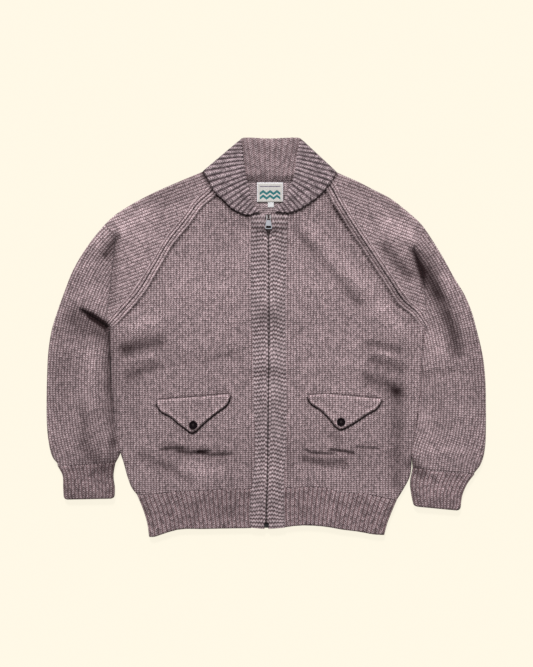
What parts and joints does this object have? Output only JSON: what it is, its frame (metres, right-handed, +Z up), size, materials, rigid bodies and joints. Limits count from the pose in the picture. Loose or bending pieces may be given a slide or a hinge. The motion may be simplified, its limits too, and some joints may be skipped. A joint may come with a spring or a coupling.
{
  "type": "zip-front shawl collar cardigan",
  "caption": "Chunky knitted wool cardigan laid flat, with a turned-down ribbed shawl collar, a zip between ridged front bands, raglan sleeves and buttoned pocket flaps.",
  "frame": {"origin": "middle of the bounding box's bottom face, on the surface the garment lies on", "axes": "+X across the garment towards its left sleeve, the viewer's right; +Y from the hem to the collar; +Z up from the surface"},
  "size_m": [0.8263, 0.751, 0.0209],
  "materials": {
    "wool_knit": "heathered taupe chunky knitted wool",
    "button": "dark brown, softly polished",
    "zip_metal": "silver-grey metal",
    "zip_tape": "dark woven tape",
    "zip_box": "black moulded plastic",
    "label": "cream woven label"
  },
  "bodies": {
    "garment": {"back_panel": "wool_knit", "hem_back": "wool_knit", "front_right": "wool_knit", "front_left": "wool_knit", "sleeve_right": "wool_knit", "sleeve_left": "wool_knit", "cuff_right": "wool_knit", "cuff_left": "wool_knit", "hem_front_right": "wool_knit", "hem_front_left": "wool_knit", "placket_right": "wool_knit", "placket_left": "wool_knit", "collar_back": "wool_knit", "collar_right": "wool_knit", "collar_left": "wool_knit", "flap_right": "wool_knit", "flap_left": "wool_knit", "button_right": "button", "button_left": "button", "zip_tape_right": "zip_tape", "zip_tape_left": "zip_tape", "zip_slider": "zip_metal", "zip_bottom_box": "zip_box", "label": "label", "size_tab": "label"},
    "pull_tab": {"zip_pull_tab": "zip_metal"}
  },
  "joints": [
    {"name": "pull_tab_hinge", "type": "hinge", "parent": "garment", "child": "pull_tab", "pos_m": [0.00435, 0.2215, 0.0136], "axis": [-1, 0, 0], "range_deg": [0, 150]}
  ]
}
